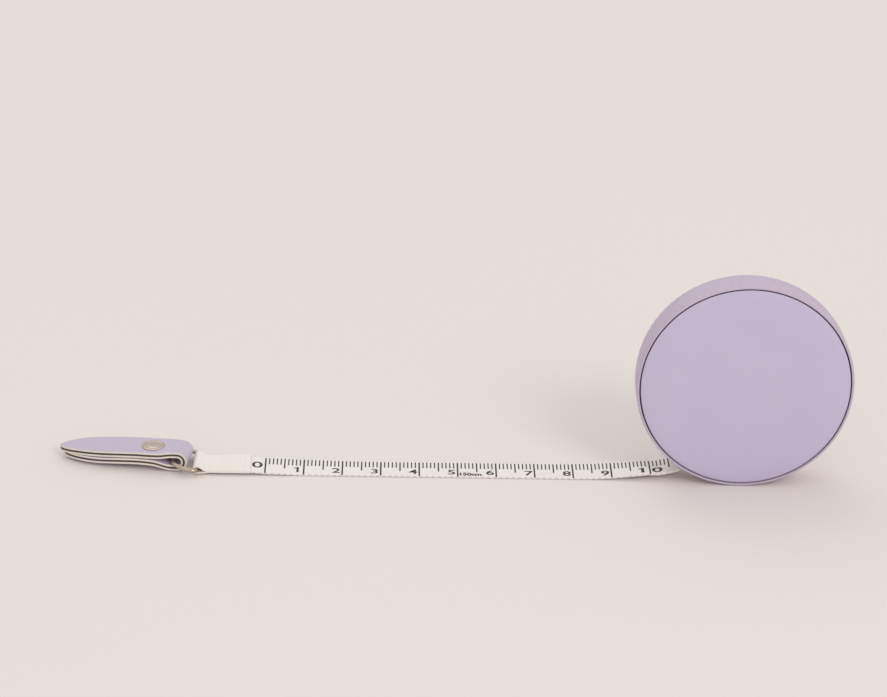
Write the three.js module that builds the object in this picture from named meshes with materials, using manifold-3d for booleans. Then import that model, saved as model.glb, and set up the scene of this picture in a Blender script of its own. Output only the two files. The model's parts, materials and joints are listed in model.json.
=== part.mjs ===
// A retractable cloth tape measure in a round leather case, with its tape drawn out flat.
// Millimetres, +Z up. The tape runs along X, the case turns about an axis along Y.
import * as THREE from "three";
import { mergeVertices } from "three/addons/utils/BufferGeometryUtils.js";
import Module from "manifold-3d";

const wasm = await Module();
wasm.setup();

// Clearances
const fitGap = 0.3;
const layerGap = 0.05;
const overrun = 1;

// Case: lengths along its axis count from the middle of its depth, the front is negative
const caseRadius = 27.8;
const caseX = 122.8;
const bandThickness = 0.65;
const frontRoom = 2.5;
const backCurveStart = 5.2;
const backCurveDepth = 8.2;
const backCurveInset = 7;
const shellWall = 1.2;
const rearPlateThickness = 0.8;
const rearPadThickness = 0.35;
const rearLeatherThickness = 0.5;
const rearLeatherEdge = 1.2;

// Front face, which is the rewind button
const faceSetback = 0.3;
const faceCrown = 0.8;
const faceShoulder = 3.2;
const faceRoundness = 1.5;
const leatherThickness = 0.5;
const padEdgeThickness = 0.2;
const pressPlateThickness = 0.5;
const buttonTravel = 0.7;

// Tape
const tapeWidth = 9;
const tapeThickness = 0.35;
const tapeMiddleY = 0.3;
const tapeStartX = -3.5;
const tapeFlatEndX = 81;
const tapeLift = 0.06;
const slotAngle = THREE.MathUtils.degToRad(32.5);
const slotHeight = 3.4;
const slotSideRoom = 0.5;
const slotCutShare = 3;
const tapeBendShare = 1.5;
const guideWall = 0.6;
const guideDepth = 2.4;

// Sewn end of the tape and its loop
const endExtraWidth = 0.2;
const endThickness = 0.75;
const barX = -17.6;
const barZ = 1.4;
const loopWall = 0.35;
const loopShoulderShare = 0.75;
const endRiseLength = 5.6;

// D ring
const wireRadius = 0.58;
const ringHalfWidth = 5.65;
const ringMiddleY = 0.5;
const ringCornerRadius = 1.7;
const ringReach = 7.1;

// Tab
const tabYaw = THREE.MathUtils.degToRad(-8.5);
const foldX = -21.95;
const tabMiddleY = 1;
const layerThickness = 0.4;
const foldRadius = 2.35;
const foldLift = 0.3;
const tabLength = 32;
const tabWidth = 9.8;
const foldWidth = 7.8;
const lowerLeafRise = [
  [0, 0], [2.2, 0.05], [5.4, 1.2], [8.2, 1.4], [11, 1.35], [16, 1], [21, 0.6], [26.5, 0.35], [34, 0.2],
];
const upperLeafDrop = [
  [0, 0], [2.4, 0], [5.4, 0.5], [8.2, 0.52], [11, 0.55], [16, 0.85], [21, 1.2], [26.5, 1.45], [34, 1.7],
];
const flapClearance = 0.4;
const leafShares = { shoulder: 1 / 6, taper: 0.55, tip: 0.82 };

// Press stud
const snapX = 8.2;
const snapDrop = 0.52;
const snapRise = 1.4;
const snapCapRadius = 2.9;
const snapCapThickness = 0.3;
const snapCapCrown = 0.125;
const snapCapGap = 0.2;
const snapCapFlatShare = 0.8;
const snapShankRadius = 0.8;
const socketRadius = 2.2;
const socketBore = 1.5;
const studRadius = 1.15;
const studHeight = 0.6;
const rivetThickness = 0.3;

// Reel
const arborRadius = 2.6;
const reelBore = 2.9;
const drumRadius = 9;
const drumWall = 0.7;
const reelRoom = 10.1;
const flangeThickness = 0.5;
const rollMargin = 0.6;
const coverThickness = 0.6;
const screwRadius = 1;
const screwHeadRadius = 2;
const screwHeadThickness = 0.3;
const screwLength = 6;
const springStrip = 0.2;
const springTurns = 7;
const springInner = 3.1;

// Button springs
const returnSpringPlaces = [90, 190, 340];
const returnSpringInset = 7.2;
const bossRadius = 1.6;
const bossFront = -1.5;
const coilRadius = 1.2;
const springWire = 0.2;
const coilTurns = 3;

// Brake
const brakePivotAngle = 15;
const brakeEndAngle = 57;
const brakeLeverWidth = 1.7;
const brakeLeverDepth = 3.1;
const brakeLeverSetback = 0.2;
const brakeEyeRadius = 1.9;
const brakePinRadius = 0.8;
const brakePinFront = -3;
const brakePinSetback = 0.75;
const shoeStartAngle = 38;
const shoeEndAngle = 47;
const shoeSetback = 0.2;
const shoeGap = 0.2;
const shoeDepth = 2.35;
const pegAngle = 55;
const pegRadius = 0.7;
const pegTip = 1;
const brakeCoilRadius = 1.35;

// Facets
const rimSteps = 64;
const innerSteps = 40;
const smallSteps = 20;
const snapSteps = 32;
const curveSteps = 8;
const profileSteps = 14;
const leafSteps = 22;
const edgeSteps = 6;
const domeSteps = 6;
const coilSteps = 8;
const coilSides = 5;
const spiralSteps = 24;

// Worked out
const fullTurn = 360;
const caseZ = caseRadius;
const tapeFront = tapeMiddleY - tapeWidth / 2;
const tapeBack = tapeMiddleY + tapeWidth / 2;
const lipFront = tapeFront - frontRoom;
const faceEdge = lipFront + faceSetback;
const straightRimEnd = tapeBack - backCurveStart;
const lipInner = caseRadius - bandThickness;
const faceRadius = lipInner - fitGap;
const shellInset = bandThickness + fitGap;
const backCurveRadius = caseRadius - backCurveInset;
const rearPlateBack = straightRimEnd + backCurveDepth - shellInset;
const rearPlateFront = rearPlateBack - rearPlateThickness;
const pressPlateFront = faceEdge + leatherThickness + padEdgeThickness;
const pressPlateBack = pressPlateFront + pressPlateThickness;
const shellFront = pressPlateBack + buttonTravel + fitGap;
const flangeFront = tapeBack + fitGap;
const flangeBack = flangeFront + flangeThickness;
const brakeLeverBack = tapeBack - brakeLeverSetback;
const brakeLeverFront = brakeLeverBack - brakeLeverDepth;
const shoeBack = flangeBack - shoeSetback;
const flangeRadius = caseRadius - reelRoom;
const rollRadius = flangeRadius - rollMargin;
const brakeCircle = flangeRadius + shoeGap + shoeDepth + layerGap + brakeLeverWidth / 2;
const returnSpringCircle = caseRadius - returnSpringInset;
const slotX = -caseRadius * Math.sin(slotAngle);
const slotZ = -caseRadius * Math.cos(slotAngle);
const leadCircle = rollRadius + fitGap + tapeThickness / 2;
const leadTurn = Math.asin(leadCircle / caseRadius);
const leadSlope = Math.PI / 2 - slotAngle - leadTurn;
const leadLength = Math.sqrt(caseRadius ** 2 - leadCircle ** 2);
const stackThickness = layerThickness * 3 + layerGap * 2;
const foldMiddle = foldLift + foldRadius;
const foldTop = foldMiddle + foldRadius;

const colours = {
  leather: 0xc1b5cd,
  band: 0xc3b4c5,
  foam: 0xe8e4de,
  shell: 0xd8d2da,
  tape: 0xf4f1ea,
  nickel: 0xb9ab98,
  steel: 0x9a9a9e,
  brass: 0xb79a55,
  plastic: 0x8c8893,
  rubber: 0x2b2b2e,
  board: 0x5a5560,
};

function solidOf(geometry) {
  const bare = geometry.clone();
  bare.deleteAttribute("normal");
  bare.deleteAttribute("uv");
  const merged = mergeVertices(bare, 1e-4);
  const mesh = new wasm.Mesh({
    numProp: 3,
    vertProperties: merged.attributes.position.array,
    triVerts: new Uint32Array(merged.index.array),
  });
  return new wasm.Manifold(mesh);
}

function geometryOf(solid) {
  const mesh = solid.getMesh();
  const geometry = new THREE.BufferGeometry();
  geometry.setAttribute("position", new THREE.BufferAttribute(mesh.vertProperties, 3));
  geometry.setIndex(new THREE.BufferAttribute(mesh.triVerts, 1));
  geometry.computeVertexNormals();
  return geometry;
}

function pieceOf(name, geometry, colour, roughness, metalness) {
  const material = new THREE.MeshStandardMaterial({ color: colour, roughness, metalness });
  const mesh = new THREE.Mesh(geometry, material);
  mesh.name = name;
  return mesh;
}

// A solid of revolution about Y from [radius, y] points given counter-clockwise
function turned(points, steps = innerSteps) {
  const outline = points.map(([r, y]) => new THREE.Vector2(r, y));
  const closed = points[0][0] > 0 ? [...outline, outline[0].clone()] : outline;
  return new THREE.LatheGeometry(closed, steps);
}

// A ring or disc about Y between two radii
function ringOf(inner, outer, front, back, steps = innerSteps) {
  const rim = [[outer, front], [outer, back], [inner, back]];
  return turned([[inner, front], ...rim], steps);
}

// An outline in X and Z drawn along Y
function slabOf(shape, front, back) {
  const geometry = new THREE.ExtrudeGeometry(shape, {
    depth: back - front,
    bevelEnabled: false,
    curveSegments: curveSteps,
  });
  return geometry.rotateX(Math.PI / 2).translate(0, back, 0);
}

// An outline in X and Y drawn up along Z
function sheetOf(shape, bottom, top) {
  const geometry = new THREE.ExtrudeGeometry(shape, {
    depth: top - bottom,
    bevelEnabled: false,
    curveSegments: curveSteps,
  });
  return geometry.translate(0, 0, bottom);
}

function outlineOf(points) {
  return new THREE.Shape(points.map(([x, y]) => new THREE.Vector2(x, y)));
}

function polar(radius, degrees) {
  const angle = THREE.MathUtils.degToRad(degrees);
  return [radius * Math.cos(angle), radius * Math.sin(angle)];
}

// A coil of round wire along Y
class Coil extends THREE.Curve {
  constructor(radius, front, back, turns) {
    super();
    Object.assign(this, { radius, front, back, turns });
  }

  getPoint(share) {
    const angle = share * this.turns * Math.PI * 2;
    const y = this.front + (this.back - this.front) * share;
    return new THREE.Vector3(this.radius * Math.cos(angle), y, this.radius * Math.sin(angle));
  }
}

function coilSpring(radius, front, back) {
  const step = fullTurn / coilSides;
  const section = Array.from({ length: coilSides }, (_, side) => polar(springWire, side * step));
  return new THREE.ExtrudeGeometry(outlineOf(section), {
    steps: coilTurns * coilSteps,
    extrudePath: new Coil(radius, front + springWire, back - springWire, coilTurns),
  });
}

// The rounded back edge of the case, set in from its outside by a distance
function backCurve(inset) {
  const points = [];
  for (let step = 0; step <= edgeSteps; step += 1) {
    const angle = (Math.PI / 2) * (step / edgeSteps);
    const radius = backCurveRadius + (backCurveInset - inset) * Math.cos(angle);
    points.push([radius, straightRimEnd + (backCurveDepth - inset) * Math.sin(angle)]);
  }
  return points;
}

// The way the tape takes through the slot, as a box that leaves room about the tape
function slotCut(room, endRoom = 0) {
  const side = slotSideRoom + room;
  const height = slotHeight + room * 2;
  const length = (shellInset + shellWall + guideDepth) * slotCutShare + endRoom * 2;
  const cut = new THREE.BoxGeometry(length, tapeWidth + side * 2, height);
  cut.rotateY(-leadSlope);
  return solidOf(cut.translate(slotX, tapeMiddleY, slotZ));
}

function rimBand() {
  const lip = bandThickness / 3;
  const outer = [[caseRadius - lip, lipFront], [caseRadius, lipFront + lip], ...backCurve(0)];
  const front = [[lipInner, lipFront + lip], [lipInner + lip, lipFront]];
  const inner = [...backCurve(bandThickness).reverse(), ...front];
  return geometryOf(solidOf(turned([...outer, ...inner], rimSteps)).subtract(slotCut(0)));
}

function rearShell() {
  const outer = [[lipInner - fitGap, shellFront], ...backCurve(shellInset)];
  const inner = backCurve(shellInset + shellWall).filter(([, y]) => y < rearPlateFront).reverse();
  const hub = screwRadius + fitGap;
  const wall = lipInner - fitGap - shellWall;
  const rear = [[hub, rearPlateBack], [hub, rearPlateFront], [inner[0][0], rearPlateFront]];
  let shell = solidOf(turned([...outer, ...rear, ...inner, [wall, shellFront]], rimSteps));
  for (const place of returnSpringPlaces) {
    const [x, z] = polar(returnSpringCircle, place);
    const boss = turned(discOf(bossRadius, bossFront, rearPlateBack - rearPlateThickness / 2), smallSteps);
    shell = shell.add(solidOf(boss.translate(x, 0, z)));
  }
  return geometryOf(shell.subtract(slotCut(guideWall + fitGap, fitGap)));
}

function discOf(radius, front, back) {
  return [[0, front], [radius, front], [radius, back], [0, back]];
}

// The slot guide is a channel set in the slot of the rim wall, open towards the press plate
function slotGuide() {
  const deep = shellInset + guideDepth;
  const outer = [[caseRadius - shellInset, shellFront], ...backCurve(shellInset)];
  const inner = [...backCurve(deep).reverse(), [caseRadius - deep, shellFront]];
  const seat = solidOf(turned([...outer, ...inner], rimSteps));
  return geometryOf(slotCut(guideWall).intersect(seat).subtract(slotCut(0, overrun)));
}

function ringPoints(inner, outer, front, back) {
  return [[inner, front], [outer, front], [outer, back], [inner, back]];
}

function domePoints(edge, inset, rise) {
  const points = [];
  for (let step = 0; step <= domeSteps; step += 1) {
    const share = step / domeSteps;
    const radius = (faceRadius - inset) * Math.sin((Math.PI / 2) * share);
    const crown = rise * Math.cos((Math.PI / 2) * share ** faceRoundness);
    points.push([radius, edge - crown]);
  }
  return points;
}

function faceLeather() {
  const back = faceEdge + leatherThickness;
  const rim = faceShoulder / 8;
  const outside = domePoints(faceEdge, rim, faceCrown);
  const inside = domePoints(back, rim, faceCrown).reverse();
  return turned([...outside, [faceRadius, faceEdge + rim], [faceRadius, back], ...inside], rimSteps);
}

function facePad() {
  const inside = domePoints(faceEdge + leatherThickness + layerGap, faceShoulder / 4, faceCrown);
  return turned([...inside, [inside.at(-1)[0], pressPlateFront - layerGap], [0, pressPlateFront - layerGap]]);
}

function pressPlate() {
  const plate = solidOf(turned(discOf(faceRadius - fitGap, pressPlateFront, pressPlateBack), rimSteps));
  const [x, z] = polar(flangeRadius + fitGap * 2 + pegRadius, pegAngle);
  const root = pressPlateBack - pressPlateThickness / 2;
  const tip = [[pegRadius, pegTip - pegRadius], [pegRadius / 2, pegTip], [0, pegTip]];
  const peg = turned([[0, root], [pegRadius, root], ...tip], smallSteps).translate(x, 0, z);
  return geometryOf(plate.add(solidOf(peg)));
}

function arcLever(inner, outer, from, to) {
  const shape = new THREE.Shape();
  const start = THREE.MathUtils.degToRad(from);
  const end = THREE.MathUtils.degToRad(to);
  shape.absarc(0, 0, outer, start, end, false);
  shape.absarc(0, 0, inner, end, start, true);
  return shape;
}

function brakeLever() {
  const half = brakeLeverWidth / 2;
  const arm = arcLever(brakeCircle - half, brakeCircle + half, brakePivotAngle, brakeEndAngle);
  const [x, z] = polar(brakeCircle, brakePivotAngle);
  const eye = turned(discOf(brakeEyeRadius, brakeLeverFront, brakeLeverBack), smallSteps);
  const bore = discOf(brakePinRadius + fitGap, brakeLeverFront - overrun, brakeLeverBack + overrun);
  const joined = solidOf(slabOf(arm, brakeLeverFront, brakeLeverBack)).add(solidOf(eye.translate(x, 0, z)));
  return geometryOf(joined.subtract(solidOf(turned(bore, smallSteps).translate(x, 0, z))));
}

function brakeShoe() {
  const inner = flangeRadius + shoeGap;
  const outer = brakeCircle - brakeLeverWidth / 2 - layerGap;
  return slabOf(arcLever(inner, outer, shoeStartAngle, shoeEndAngle), brakeLeverFront, shoeBack);
}

function powerSpring() {
  const outerRadius = drumRadius - drumWall - fitGap - springStrip;
  const pitch = (outerRadius - springInner) / springTurns;
  const along = [];
  const back = [];
  for (let step = 0; step <= springTurns * spiralSteps; step += 1) {
    const angle = (step / spiralSteps) * Math.PI * 2;
    const radius = springInner + pitch * (step / spiralSteps);
    along.push([(radius + springStrip) * Math.cos(angle), (radius + springStrip) * Math.sin(angle)]);
    back.unshift([radius * Math.cos(angle), radius * Math.sin(angle)]);
  }
  const front = tapeFront + coverThickness + fitGap;
  return slabOf(outlineOf([...along, ...back]), front, flangeFront - fitGap);
}

function reelDrum() {
  const inner = drumRadius - drumWall;
  const flange = [[flangeRadius, flangeFront], [flangeRadius, flangeBack], [reelBore, flangeBack]];
  const well = [[reelBore, flangeFront], [inner, flangeFront], [inner, tapeFront]];
  return turned([[drumRadius, tapeFront], [drumRadius, flangeFront], ...flange, ...well]);
}

function drumCover() {
  return ringOf(reelBore, drumRadius - drumWall - fitGap, tapeFront, tapeFront + coverThickness);
}

function arbor() {
  const front = tapeFront + fitGap;
  const back = rearPlateFront - fitGap;
  const bore = screwRadius + fitGap;
  const depth = back - screwLength;
  const outside = [[0, front], [arborRadius, front], [arborRadius, back]];
  return turned([...outside, [bore, back], [bore, depth], [0, depth]], smallSteps);
}

function arborScrew() {
  const head = rearPlateBack + fitGap;
  const tip = rearPlateFront - screwLength + fitGap * 2;
  const top = head + screwHeadThickness;
  const crown = [[screwHeadRadius, head], [screwHeadRadius, top], [0, top]];
  return turned([[0, tip], [screwRadius, tip], [screwRadius, head], ...crown], smallSteps);
}

function rearPad() {
  const front = rearPlateBack + layerGap;
  return ringOf(screwHeadRadius + fitGap, backCurveRadius - fitGap * 2, front, front + rearPadThickness);
}

function rearLeather() {
  const front = rearPlateBack + screwHeadThickness + fitGap * 2;
  const back = front + rearLeatherThickness;
  const radius = backCurveRadius - fitGap;
  return turned([[0, front], [radius, front], [radius - rearLeatherEdge / 2, back], [0, back]], rimSteps);
}

function tapeLead() {
  const start = guideDepth / 3;
  const shape = outlineOf([[start, -tapeThickness / 2], [leadLength, -tapeThickness / 2],
    [leadLength, tapeThickness / 2], [start, tapeThickness / 2]]);
  const lead = slabOf(shape, tapeFront, tapeBack).rotateY(-leadSlope);
  return lead.translate(slotX, 0, slotZ);
}

// The tape leaves the floor in a smooth curve and reaches the slot at the slope of the lead
function freeTape() {
  const endX = caseX + slotX;
  const endZ = caseZ + slotZ;
  const reach = (endZ - tapeLift - tapeThickness / 2) * tapeBendShare;
  const bend = new THREE.CubicBezierCurve(
    new THREE.Vector2(tapeFlatEndX, tapeLift + tapeThickness / 2),
    new THREE.Vector2(tapeFlatEndX + (endX - tapeFlatEndX) / 2, tapeLift + tapeThickness / 2),
    new THREE.Vector2(endX - reach * Math.cos(leadSlope), endZ - reach * Math.sin(leadSlope)),
    new THREE.Vector2(endX, endZ),
  );
  const above = [[tapeStartX, tapeLift + tapeThickness]];
  const below = [[tapeStartX, tapeLift]];
  for (const [index, point] of bend.getPoints(profileSteps).entries()) {
    const way = bend.getTangent(index / profileSteps);
    const half = tapeThickness / 2;
    above.push([point.x - way.y * half, point.y + way.x * half]);
    below.unshift([point.x + way.y * half, point.y - way.x * half]);
  }
  return slabOf(outlineOf([...above, ...below]), tapeFront, tapeBack);
}

function tapeEnd() {
  const loopRadius = barZ - tapeLift;
  const endX = tapeStartX - fitGap;
  const front = tapeFront - endExtraWidth / 2;
  const back = tapeBack + endExtraWidth / 2;
  const shape = outlineOf([[endX, tapeLift], [endX, endThickness], [barX + endRiseLength, endThickness],
    [barX + loopRadius / 2, barZ + loopRadius * loopShoulderShare], [barX, barZ], [barX, tapeLift]]);
  const middle = (geometry) => solidOf(geometry.translate(barX, 0, barZ));
  const loop = middle(turned(discOf(loopRadius, front, back), smallSteps));
  const bore = middle(turned(discOf(loopRadius - loopWall, front - overrun, back + overrun), smallSteps));
  return geometryOf(solidOf(slabOf(shape, front, back)).add(loop).subtract(bore));
}

// The ring: a straight bar with round corners, two short legs and a half circle
function dRing() {
  const arcMiddle = -(ringReach - ringHalfWidth);
  const inside = ringHalfWidth - ringCornerRadius;
  const path = new THREE.CurvePath();
  const at = (x, y) => new THREE.Vector3(x, y, 0);
  path.add(new THREE.LineCurve3(at(0, -inside), at(0, inside)));
  const corner = (side) => {
    return [at(0, inside * side), at(0, ringHalfWidth * side), at(arcMiddle, ringHalfWidth * side)];
  };
  path.add(new THREE.QuadraticBezierCurve3(...corner(1)));
  const arc = [];
  for (let step = 0; step <= innerSteps / 2; step += 1) {
    const angle = Math.PI / 2 + Math.PI * (step / (innerSteps / 2));
    arc.push(at(arcMiddle + ringHalfWidth * Math.cos(angle), ringHalfWidth * Math.sin(angle)));
  }
  path.add(new THREE.CatmullRomCurve3(arc));
  path.add(new THREE.QuadraticBezierCurve3(...corner(-1).reverse()));
  return new THREE.TubeGeometry(path, rimSteps, wireRadius, curveSteps, true);
}

// The outline of a leaf, with its fold end at 0 and its tip at -tabLength
function leafOutline() {
  const half = tabWidth / 2;
  const foldHalf = foldWidth / 2;
  const shape = new THREE.Shape();
  const startX = foldRadius + overrun;
  const shoulder = tabLength * leafShares.shoulder;
  const taper = tabLength * leafShares.taper;
  const tip = tabLength * leafShares.tip;
  shape.moveTo(startX, -foldHalf);
  shape.lineTo(startX, foldHalf);
  shape.lineTo(0, foldHalf);
  shape.bezierCurveTo(-shoulder / 2, foldHalf, -shoulder / 2, half, -shoulder, half);
  shape.lineTo(-taper, half);
  shape.bezierCurveTo(-tip, half, -tabLength, half / 2, -tabLength, 0);
  shape.bezierCurveTo(-tabLength, -half / 2, -tip, -half, -taper, -half);
  shape.lineTo(-shoulder, -half);
  shape.bezierCurveTo(-shoulder / 2, -half, -shoulder / 2, -foldHalf, 0, -foldHalf);
  return shape;
}

function cutToLeaf(profile) {
  const side = slabOf(profile, -tabWidth, tabWidth);
  const outline = sheetOf(leafOutline(), -overrun, foldRadius * 2 + overrun);
  return solidOf(side).intersect(solidOf(outline));
}

// Points along a leaf, from its fold to beyond its tip, as a smooth line through [distance, height] points
function leafLine(heights, start = 0) {
  const line = new THREE.SplineCurve(heights.map(([x, z]) => new THREE.Vector2(x, z)));
  const points = line.getSpacedPoints(leafSteps).map((point) => [Math.max(point.x, start), point.y]);
  return points.filter(([x], index) => index === leafSteps || points[index + 1][0] > x);
}

// The lower leaf and its fold: a layer between two distances from the outside
function lowerLayer(from, to) {
  const shape = new THREE.Shape();
  const line = leafLine(lowerLeafRise);
  for (const [index, [x, z]] of [...line].reverse().entries()) {
    if (index) shape.lineTo(-x, foldLift + z + from);
    else shape.moveTo(-x, foldLift + z + from);
  }
  shape.absarc(0, foldMiddle, foldRadius - from, -Math.PI / 2, Math.PI / 2, false);
  shape.lineTo(0, foldTop - to);
  shape.absarc(0, foldMiddle, foldRadius - to, Math.PI / 2, -Math.PI / 2, true);
  for (const [x, z] of line) {
    shape.lineTo(-x, foldLift + z + to);
  }
  return cutToLeaf(shape);
}

// The upper leaf: it comes off the fold and settles down on the lower leaf
function upperLayer(from, to) {
  const line = leafLine(upperLeafDrop, flapClearance);
  const along = line.map(([x, z]) => [-x, foldTop - z - from]);
  const back = line.map(([x, z]) => [-x, foldTop - z - to]).reverse();
  return cutToLeaf(outlineOf([...along, ...back]));
}

function studHole(radius) {
  const hole = turned(discOf(radius, -overrun, foldRadius * 2 + overrun), smallSteps);
  return solidOf(hole.rotateX(Math.PI / 2).translate(-snapX, 0, 0));
}

// A turned stud piece that stands upright at the press stud's place
function upright(points) {
  return turned(points, snapSteps).rotateX(Math.PI / 2).translate(-snapX, 0, 0);
}

const layers = [0, 1, 2].map((index) => {
  const from = index * (layerThickness + layerGap);
  return [from, from + layerThickness];
});

function snapParts() {
  const top = foldTop - snapDrop;
  const bottom = foldLift + snapRise;
  const capBottom = top + snapCapGap;
  const capTop = capBottom + snapCapThickness;
  const socketBottom = top - stackThickness + layerGap;
  const socketTop = top - layerThickness - layerGap;
  const shankEnd = socketTop - fitGap;
  const studBase = bottom + rivetThickness + layerGap * 2;
  const studBaseTop = bottom + stackThickness;
  const shank = [[0, shankEnd], [snapShankRadius, shankEnd], [snapShankRadius, capBottom]];
  const head = [[snapCapRadius, capBottom], [snapCapRadius, capTop - snapCapThickness / 2]];
  const crown = [[snapCapRadius * snapCapFlatShare, capTop], [snapCapRadius / 2, capTop + snapCapCrown]];
  const base = [[0, studBase], [socketRadius, studBase], [socketRadius, studBaseTop]];
  const post = [[studRadius, studBaseTop], [studRadius, studBaseTop + studHeight]];
  return {
    cap: upright([...shank, ...head, ...crown, [0, capTop + snapCapCrown]]),
    socket: upright(ringPoints(socketBore, socketRadius, socketBottom, socketTop)),
    stud: upright([...base, ...post, [0, studBaseTop + studHeight]]),
    rivet: upright(discOf(socketRadius, bottom + layerGap, bottom + layerGap + rivetThickness)),
  };
}

function caseGroup() {
  const group = new THREE.Group();
  group.position.set(caseX, 0, caseZ);
  const pinX = polar(brakeCircle, brakePivotAngle);
  const pin = turned(discOf(brakePinRadius, brakePinFront, rearPlateFront - brakePinSetback), smallSteps);
  const brakeSpring = coilSpring(brakeCoilRadius, brakePinFront + fitGap * 2, brakeLeverFront - fitGap);
  group.add(
    pieceOf("rear_shell", rearShell(), colours.shell, 0.6, 0),
    pieceOf("rim_band", rimBand(), colours.band, 0.55, 0),
    pieceOf("slot_guide", slotGuide(), colours.plastic, 0.4, 0),
    pieceOf("rear_pad", rearPad(), colours.foam, 0.95, 0),
    pieceOf("rear_leather", rearLeather(), colours.leather, 0.5, 0),
    pieceOf("arbor", arbor(), colours.steel, 0.35, 1),
    pieceOf("arbor_screw", arborScrew(), colours.steel, 0.35, 1),
    pieceOf("brake_pin", pin.translate(pinX[0], 0, pinX[1]), colours.steel, 0.35, 1),
    pieceOf("brake_spring", brakeSpring.translate(pinX[0], 0, pinX[1]), colours.steel, 0.35, 1),
    pieceOf("tape_lead", tapeLead(), colours.tape, 0.8, 0),
    pieceOf("face_leather", faceLeather(), colours.leather, 0.5, 0),
    pieceOf("face_pad", facePad(), colours.foam, 0.95, 0),
    pieceOf("press_plate", pressPlate(), colours.plastic, 0.45, 0),
    pieceOf("brake_lever", brakeLever(), colours.plastic, 0.45, 0),
    pieceOf("brake_shoe", brakeShoe(), colours.rubber, 0.9, 0),
    pieceOf("reel_drum", reelDrum(), colours.plastic, 0.45, 0),
    pieceOf("drum_cover", drumCover(), colours.steel, 0.4, 1),
    pieceOf("power_spring", powerSpring(), colours.steel, 0.3, 1),
    pieceOf("tape_roll", ringOf(drumRadius + fitGap, rollRadius, tapeFront, tapeBack), colours.tape, 0.8, 0),
  );
  returnSpringPlaces.forEach((place, index) => {
    const [x, z] = polar(returnSpringCircle, place);
    const spring = coilSpring(coilRadius, pressPlateBack + layerGap, bossFront - layerGap);
    group.add(pieceOf(`return_spring_${index + 1}`, spring.translate(x, 0, z), colours.steel, 0.35, 1));
  });
  return group;
}

function ringGroup() {
  const group = new THREE.Group();
  group.position.set(barX, ringMiddleY, barZ);
  group.rotation.y = Math.asin((foldMiddle - barZ) / ringReach);
  group.add(pieceOf("d_ring", dRing(), colours.nickel, 0.25, 1));
  return group;
}

function tabGroup() {
  const group = new THREE.Group();
  group.position.set(foldX, tabMiddleY, 0);
  group.rotation.z = tabYaw;
  const wide = studHole(socketRadius + fitGap);
  const lower = layers.map(([from, to]) => lowerLayer(from, to).subtract(wide));
  const upper = layers.map(([from, to], index) => {
    return upperLayer(from, to).subtract(index ? wide : studHole(snapShankRadius + fitGap));
  });
  const snap = snapParts();
  group.add(
    pieceOf("tab_leather", geometryOf(lower[0]), colours.leather, 0.5, 0),
    pieceOf("tab_core", geometryOf(lower[1]), colours.board, 0.9, 0),
    pieceOf("tab_lining", geometryOf(lower[2]), colours.leather, 0.5, 0),
    pieceOf("snap_stud", snap.stud, colours.brass, 0.3, 1),
    pieceOf("stud_rivet", snap.rivet, colours.nickel, 0.3, 1),
    pieceOf("flap_leather", geometryOf(upper[0]), colours.leather, 0.5, 0),
    pieceOf("flap_core", geometryOf(upper[1]), colours.board, 0.9, 0),
    pieceOf("flap_lining", geometryOf(upper[2]), colours.leather, 0.5, 0),
    pieceOf("snap_socket", snap.socket, colours.brass, 0.3, 1),
    pieceOf("snap_cap", snap.cap, colours.nickel, 0.25, 1),
  );
  return group;
}

const model = new THREE.Group();
model.add(
  caseGroup(),
  pieceOf("free_tape", freeTape(), colours.tape, 0.8, 0),
  pieceOf("tape_end", tapeEnd(), colours.tape, 0.8, 0),
  ringGroup(),
  tabGroup(),
);

// The frame's origin is under the middle of the whole object, on the surface it lies on
model.updateMatrixWorld(true);
const extent = new THREE.Box3().setFromObject(model, true);
const middle = extent.getCenter(new THREE.Vector3());
model.position.set(-middle.x, -middle.y, -extent.min.z);
console.log("frame shift", model.position.toArray().map((v) => v.toFixed(4)).join(" "));

const group = new THREE.Group();
group.add(model);
export default group;
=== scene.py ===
import json
import math

import bpy
from mathutils import Matrix, Vector


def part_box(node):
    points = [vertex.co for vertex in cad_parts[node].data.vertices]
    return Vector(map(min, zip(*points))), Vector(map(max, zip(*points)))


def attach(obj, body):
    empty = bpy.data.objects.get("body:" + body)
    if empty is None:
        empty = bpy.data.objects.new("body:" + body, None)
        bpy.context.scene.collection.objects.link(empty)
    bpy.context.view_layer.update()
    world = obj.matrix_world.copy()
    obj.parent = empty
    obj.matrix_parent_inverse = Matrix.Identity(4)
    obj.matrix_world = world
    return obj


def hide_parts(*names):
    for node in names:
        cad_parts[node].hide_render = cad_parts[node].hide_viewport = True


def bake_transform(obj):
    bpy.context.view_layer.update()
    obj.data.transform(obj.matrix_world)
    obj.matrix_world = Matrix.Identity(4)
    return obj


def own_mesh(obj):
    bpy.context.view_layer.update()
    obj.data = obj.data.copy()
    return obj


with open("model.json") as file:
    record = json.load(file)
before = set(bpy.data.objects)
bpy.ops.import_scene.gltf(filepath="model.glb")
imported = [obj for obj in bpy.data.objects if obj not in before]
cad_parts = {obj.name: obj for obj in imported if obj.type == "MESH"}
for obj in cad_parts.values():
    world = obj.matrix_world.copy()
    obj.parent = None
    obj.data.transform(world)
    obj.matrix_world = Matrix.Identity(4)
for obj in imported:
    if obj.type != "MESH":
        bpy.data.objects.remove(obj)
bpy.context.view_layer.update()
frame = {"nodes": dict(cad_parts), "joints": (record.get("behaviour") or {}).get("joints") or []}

MM = 0.001

# The camera, in millimetres and degrees, from the tape's marks and the ellipse of the front face
CAMERA_PLACE = Vector((-16.32, -657.74, 318.54)) * MM
CAMERA_YAW = math.radians(1.173)
CAMERA_PITCH = math.radians(23.362)
CAMERA_ROLL = math.radians(1.268)
FOCAL_PIXELS = 2800
FRAME_WIDTH_PIXELS = 887
SENSOR_WIDTH = 36

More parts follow.
